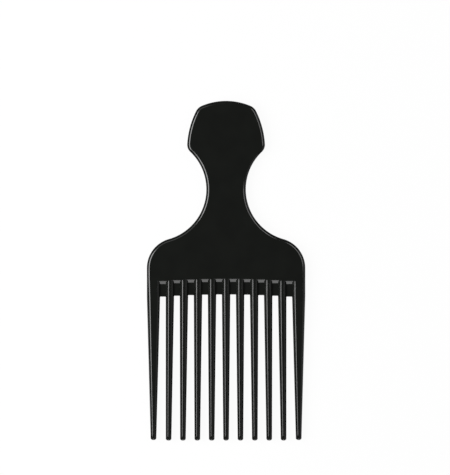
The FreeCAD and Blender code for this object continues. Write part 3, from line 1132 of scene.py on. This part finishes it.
def handling_marks() -> None:
    """The marks of use: soft smudges, and hairline rubs drawn out one way."""
    group = ShaderGroup(
        "handling_marks",
        {"Vector": Socket.VECTOR, "Smudge Scale": Socket.VALUE, "Rub Stretch": Socket.VECTOR},
        ("Smudge", "Rub"))
    tree, given, result = group.start()
    smudge = noise(tree, given["Vector"], given["Smudge Scale"], detail=4.0, rough=0.6)
    tree.links.new(spread(tree, smudge, low=0.42, high=0.68), result["Smudge"])
    drawn_out = add_node(
        tree, "ShaderNodeVectorMath", {0: given["Vector"], 1: given["Rub Stretch"]},
        operation="MULTIPLY")
    rub = noise(tree, drawn_out, scale=1.0, detail=3.0, rough=0.65)
    tree.links.new(spread(tree, rub, low=0.58, high=0.72), result["Rub"])


def edge_wear() -> None:
    """The rubbed edges: the edge mark, broken up so that it comes and goes."""
    group = ShaderGroup(
        "edge_wear",
        {
            "Edge": Socket.VALUE, "Vector": Socket.VECTOR, "Break Scale": Socket.VALUE,
            "Amount": Socket.VALUE,
        },
        ("Wear",))
    tree, given, result = group.start()
    breaks = noise(tree, given["Vector"], given["Break Scale"], detail=4.0, rough=0.6)
    broken = spread(tree, breaks, low=0.4, high=0.65, to_low=0.15)
    edge = work_out(tree, "MULTIPLY", given["Edge"], broken)
    tree.links.new(work_out(tree, "MULTIPLY", edge, given["Amount"]), result["Wear"])


@dataclass(frozen=True)
class PlasticFinish:
    """Glossy black moulded plastic, with the marks that its part of the pick shows."""

    name: str
    smudge_roughness: float
    peel_scale: float
    ripple_scale: float
    skin_height: float
    smudge_scale: float
    rub_stretch: tuple[float, float, float]
    break_scale: float
    wear_amount: float
    colour: tuple[float, float, float] = (0.0058, 0.0066, 0.0055)
    deep_share: float = 0.8
    worn_colour: tuple[float, float, float] = (0.0095, 0.01, 0.009)
    roughness: float = 0.08
    rub_roughness: float = 0.03
    worn_roughness: float = 0.02
    skin_strength: float = 0.5
    ior: float = 1.59

    def make(self) -> Material:
        """Builds the material from the shared effects.

        Returns:
            The material.
        """
        material = bpy.data.materials.new(self.name)
        material.use_nodes = True
        tree = material.node_tree
        shader = tree.nodes["Principled BSDF"]
        shader.inputs["IOR"].default_value = self.ior
        where = tree.nodes.new("ShaderNodeTexCoord").outputs["Object"]
        edge = add_node(tree, "ShaderNodeAttribute", {}, "Fac", attribute_name=WEAR)
        skin = self._effect(tree, "moulded_skin", {
            "Vector": where, "Peel Scale": self.peel_scale, "Ripple Scale": self.ripple_scale})
        marks = self._effect(tree, "handling_marks", {
            "Vector": where, "Smudge Scale": self.smudge_scale, "Rub Stretch": self.rub_stretch})
        wear = self._effect(tree, "edge_wear", {
            "Edge": edge, "Vector": where, "Break Scale": self.break_scale,
            "Amount": self.wear_amount})
        deep = tuple(self.deep_share * part for part in self.colour)
        plain = self._mix(tree, skin["Mottle"], (*deep, 1.0), (*self.colour, 1.0))
        colour = self._mix(tree, wear["Wear"], plain, (*self.worn_colour, 1.0))
        tree.links.new(colour, shader.inputs["Base Color"])
        smudged = work_out(tree, "MULTIPLY_ADD", marks["Smudge"], self.smudge_roughness, self.roughness)
        rubbed = work_out(tree, "MULTIPLY_ADD", marks["Rub"], self.rub_roughness, smudged)
        worn = work_out(tree, "MULTIPLY_ADD", wear["Wear"], self.worn_roughness, rubbed)
        tree.links.new(worn, shader.inputs["Roughness"])
        bump = add_node(tree, "ShaderNodeBump", {
            "Strength": self.skin_strength, "Distance": self.skin_height * MM, "Height": skin["Height"]})
        tree.links.new(bump, shader.inputs["Normal"])
        return material

    @staticmethod
    def _effect(tree: NodeTree, name: str, values: dict[str, object]) -> NodeOutputs:
        """Places a shared effect in the material with its own values, and gives its outputs."""
        node = tree.nodes.new("ShaderNodeGroup")
        node.node_tree = bpy.data.node_groups[name]
        for socket, value in values.items():
            plug(tree, value, node.inputs[socket])
        return node.outputs

    @staticmethod
    def _mix(tree: NodeTree, share: NodeSocket, first: object, second: object) -> NodeSocket:
        """Mixes two colours by a share and gives the result."""
        inputs = dict(zip(COLOUR_MIX_INPUTS, (share, first, second)))
        return add_node(tree, "ShaderNodeMix", inputs, COLOUR_MIX_RESULT, data_type="RGBA")


HANDLE_PLASTIC = PlasticFinish(
    name="handle_black_plastic", smudge_roughness=0.03, peel_scale=1400.0, ripple_scale=120.0,
    skin_height=0.0006, smudge_scale=70.0, rub_stretch=(900.0, 260.0, 900.0), break_scale=240.0,
    wear_amount=0.6)
TOOTH_PLASTIC = PlasticFinish(
    name="tooth_black_plastic", smudge_roughness=0.02, peel_scale=1600.0, ripple_scale=150.0,
    skin_height=0.0004, smudge_scale=110.0, rub_stretch=(2200.0, 90.0, 2200.0), break_scale=300.0,
    wear_amount=0.5)


@dataclass(frozen=True)
class FloorFinish:
    """A pale floor that shows as white, and still takes the pick's shadow."""

    name: str = "pale_floor"
    colour: tuple[float, float, float] = (0.9, 0.9, 0.9)
    white_share: float = 0.95
    white_strength: float = 1.0

    def make(self) -> Material:
        """Builds the material.

        Returns:
            The material: matt under the lamps, mostly white to the camera and in reflections.
        """
        material = bpy.data.materials.new(self.name)
        material.use_nodes = True
        tree = material.node_tree
        tree.nodes.remove(tree.nodes["Principled BSDF"])
        matt = add_node(tree, "ShaderNodeBsdfDiffuse", {"Color": (*self.colour, 1.0)})
        white = add_node(tree, "ShaderNodeEmission", {"Strength": self.white_strength})
        rays = tree.nodes.new("ShaderNodeLightPath").outputs
        seen = work_out(tree, "MAXIMUM", rays["Is Camera Ray"], rays["Is Glossy Ray"])
        seen = work_out(tree, "MAXIMUM", seen, rays["Is Transmission Ray"])
        share = work_out(tree, "MULTIPLY", seen, self.white_share)
        both = add_node(tree, "ShaderNodeMixShader", {0: share, 1: matt, 2: white})
        tree.links.new(both, tree.nodes["Material Output"].inputs["Surface"])
        return material


# The studio


@dataclass(frozen=True)
class SoftLamp:
    """A soft box, placed by its direction from the pick. Sizes here are in metres."""

    name: str
    azimuth: float
    elevation: float
    width: float
    height: float
    radiance: float
    distance: float = 0.7

    def build(self) -> Object:
        """Hangs the lamp so that it faces the pick.

        Returns:
            The lamp's object.
        """
        data = bpy.data.lights.new(self.name, "AREA")
        data.shape = "RECTANGLE"
        data.size = self.width
        data.size_y = self.height
        data.energy = self.radiance * math.pi * self.width * self.height
        lamp = bpy.data.objects.new(self.name, data)
        azimuth, elevation = math.radians(self.azimuth), math.radians(self.elevation)
        level = math.cos(elevation)
        towards = Vector((level * math.cos(azimuth), level * math.sin(azimuth), math.sin(elevation)))
        lamp.location = towards * self.distance
        lamp.rotation_euler = towards.to_track_quat("Z", "Y").to_euler()
        bpy.context.scene.collection.objects.link(lamp)
        return lamp


@dataclass
class Studio:
    """The floor, the lamps, the dim room and the camera. Sizes here are in metres."""

    floor_half_width: float = 4.0
    room_light: float = 0.075
    camera_height: float = 1.5
    camera_x: float = -0.00054
    camera_y: float = 0.01657
    camera_reach: float = 20.0
    parting_plane: float = 0.0025
    picture_height: float = 0.2369
    sensor: float = 36.0
    lamps: tuple[SoftLamp, ...] = (
        SoftLamp("left_soft_box", azimuth=180.0, elevation=40.0, width=0.7, height=0.48, radiance=6.4),
        SoftLamp("left_rear_card", azimuth=127.0, elevation=40.0, width=0.42, height=0.4, radiance=0.85),
        SoftLamp("right_soft_box", azimuth=31.0, elevation=42.0, width=0.56, height=0.32, radiance=2.7),
        SoftLamp("right_low_card", azimuth=0.0, elevation=12.0, width=1.0, height=0.26, radiance=0.2),
        SoftLamp("front_soft_box", azimuth=-90.0, elevation=31.0, width=0.4, height=0.24, radiance=2.4),
    )

    def build_floor(self) -> None:
        """Lays the pale floor under the pick."""
        reach = self.floor_half_width
        mesh = bpy.data.meshes.new("floor")
        corners = [(x * reach, y * reach, 0.0) for x, y in ((-1, -1), (1, -1), (1, 1), (-1, 1))]
        mesh.from_pydata(corners, [], [(0, 1, 2, 3)])
        mesh.materials.append(FloorFinish().make())
        floor = bpy.data.objects.new("floor", mesh)
        bpy.context.scene.collection.objects.link(floor)

    def build_light(self) -> None:
        """Hangs the lamps and dims the room."""
        for lamp in self.lamps:
            lamp.build()
        world = bpy.data.worlds.new("dim_room")
        world.use_nodes = True
        room = world.node_tree.nodes["Background"]
        room.inputs["Color"].default_value = (self.room_light, self.room_light, self.room_light, 1.0)
        bpy.context.scene.world = world

    def build_camera(self) -> None:
        """Sets the camera straight above the pick, with the head of the handle up."""
        data = bpy.data.cameras.new("camera")
        data.sensor_width = self.sensor
        data.lens = self.sensor * self.camera_height / self.picture_height
        data.clip_end = self.camera_reach
        camera = bpy.data.objects.new("camera", data)
        camera.location = (self.camera_x, self.camera_y, self.parting_plane + self.camera_height)
        bpy.context.scene.collection.objects.link(camera)
        bpy.context.scene.camera = camera
        bpy.context.scene.view_settings.view_transform = "Standard"


def main() -> None:
    """Builds the pick, piece by piece, in its studio."""
    logging.basicConfig(level=logging.INFO, format="%(name)s: %(message)s")
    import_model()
    for effect in (moulded_skin, handling_marks, edge_wear):
        effect()
    handle_plastic, tooth_plastic = HANDLE_PLASTIC.make(), TOOTH_PLASTIC.make()
    moulding = Moulding()
    plate = HandlePlate(moulding)
    plate.dress(plate.build(), handle_plastic)
    row = ToothRow(moulding)
    row.dress(row.build(), tooth_plastic)
    for side in Side:
        tooth = EndTooth(moulding, row, side)
        tooth.dress(tooth.build(), tooth_plastic)
    webs = GulletWebs(moulding)
    webs.dress(webs.build(), tooth_plastic)
    studio = Studio()
    studio.build_floor()
    studio.build_light()
    studio.build_camera()


if __name__ == "__main__":
    main()
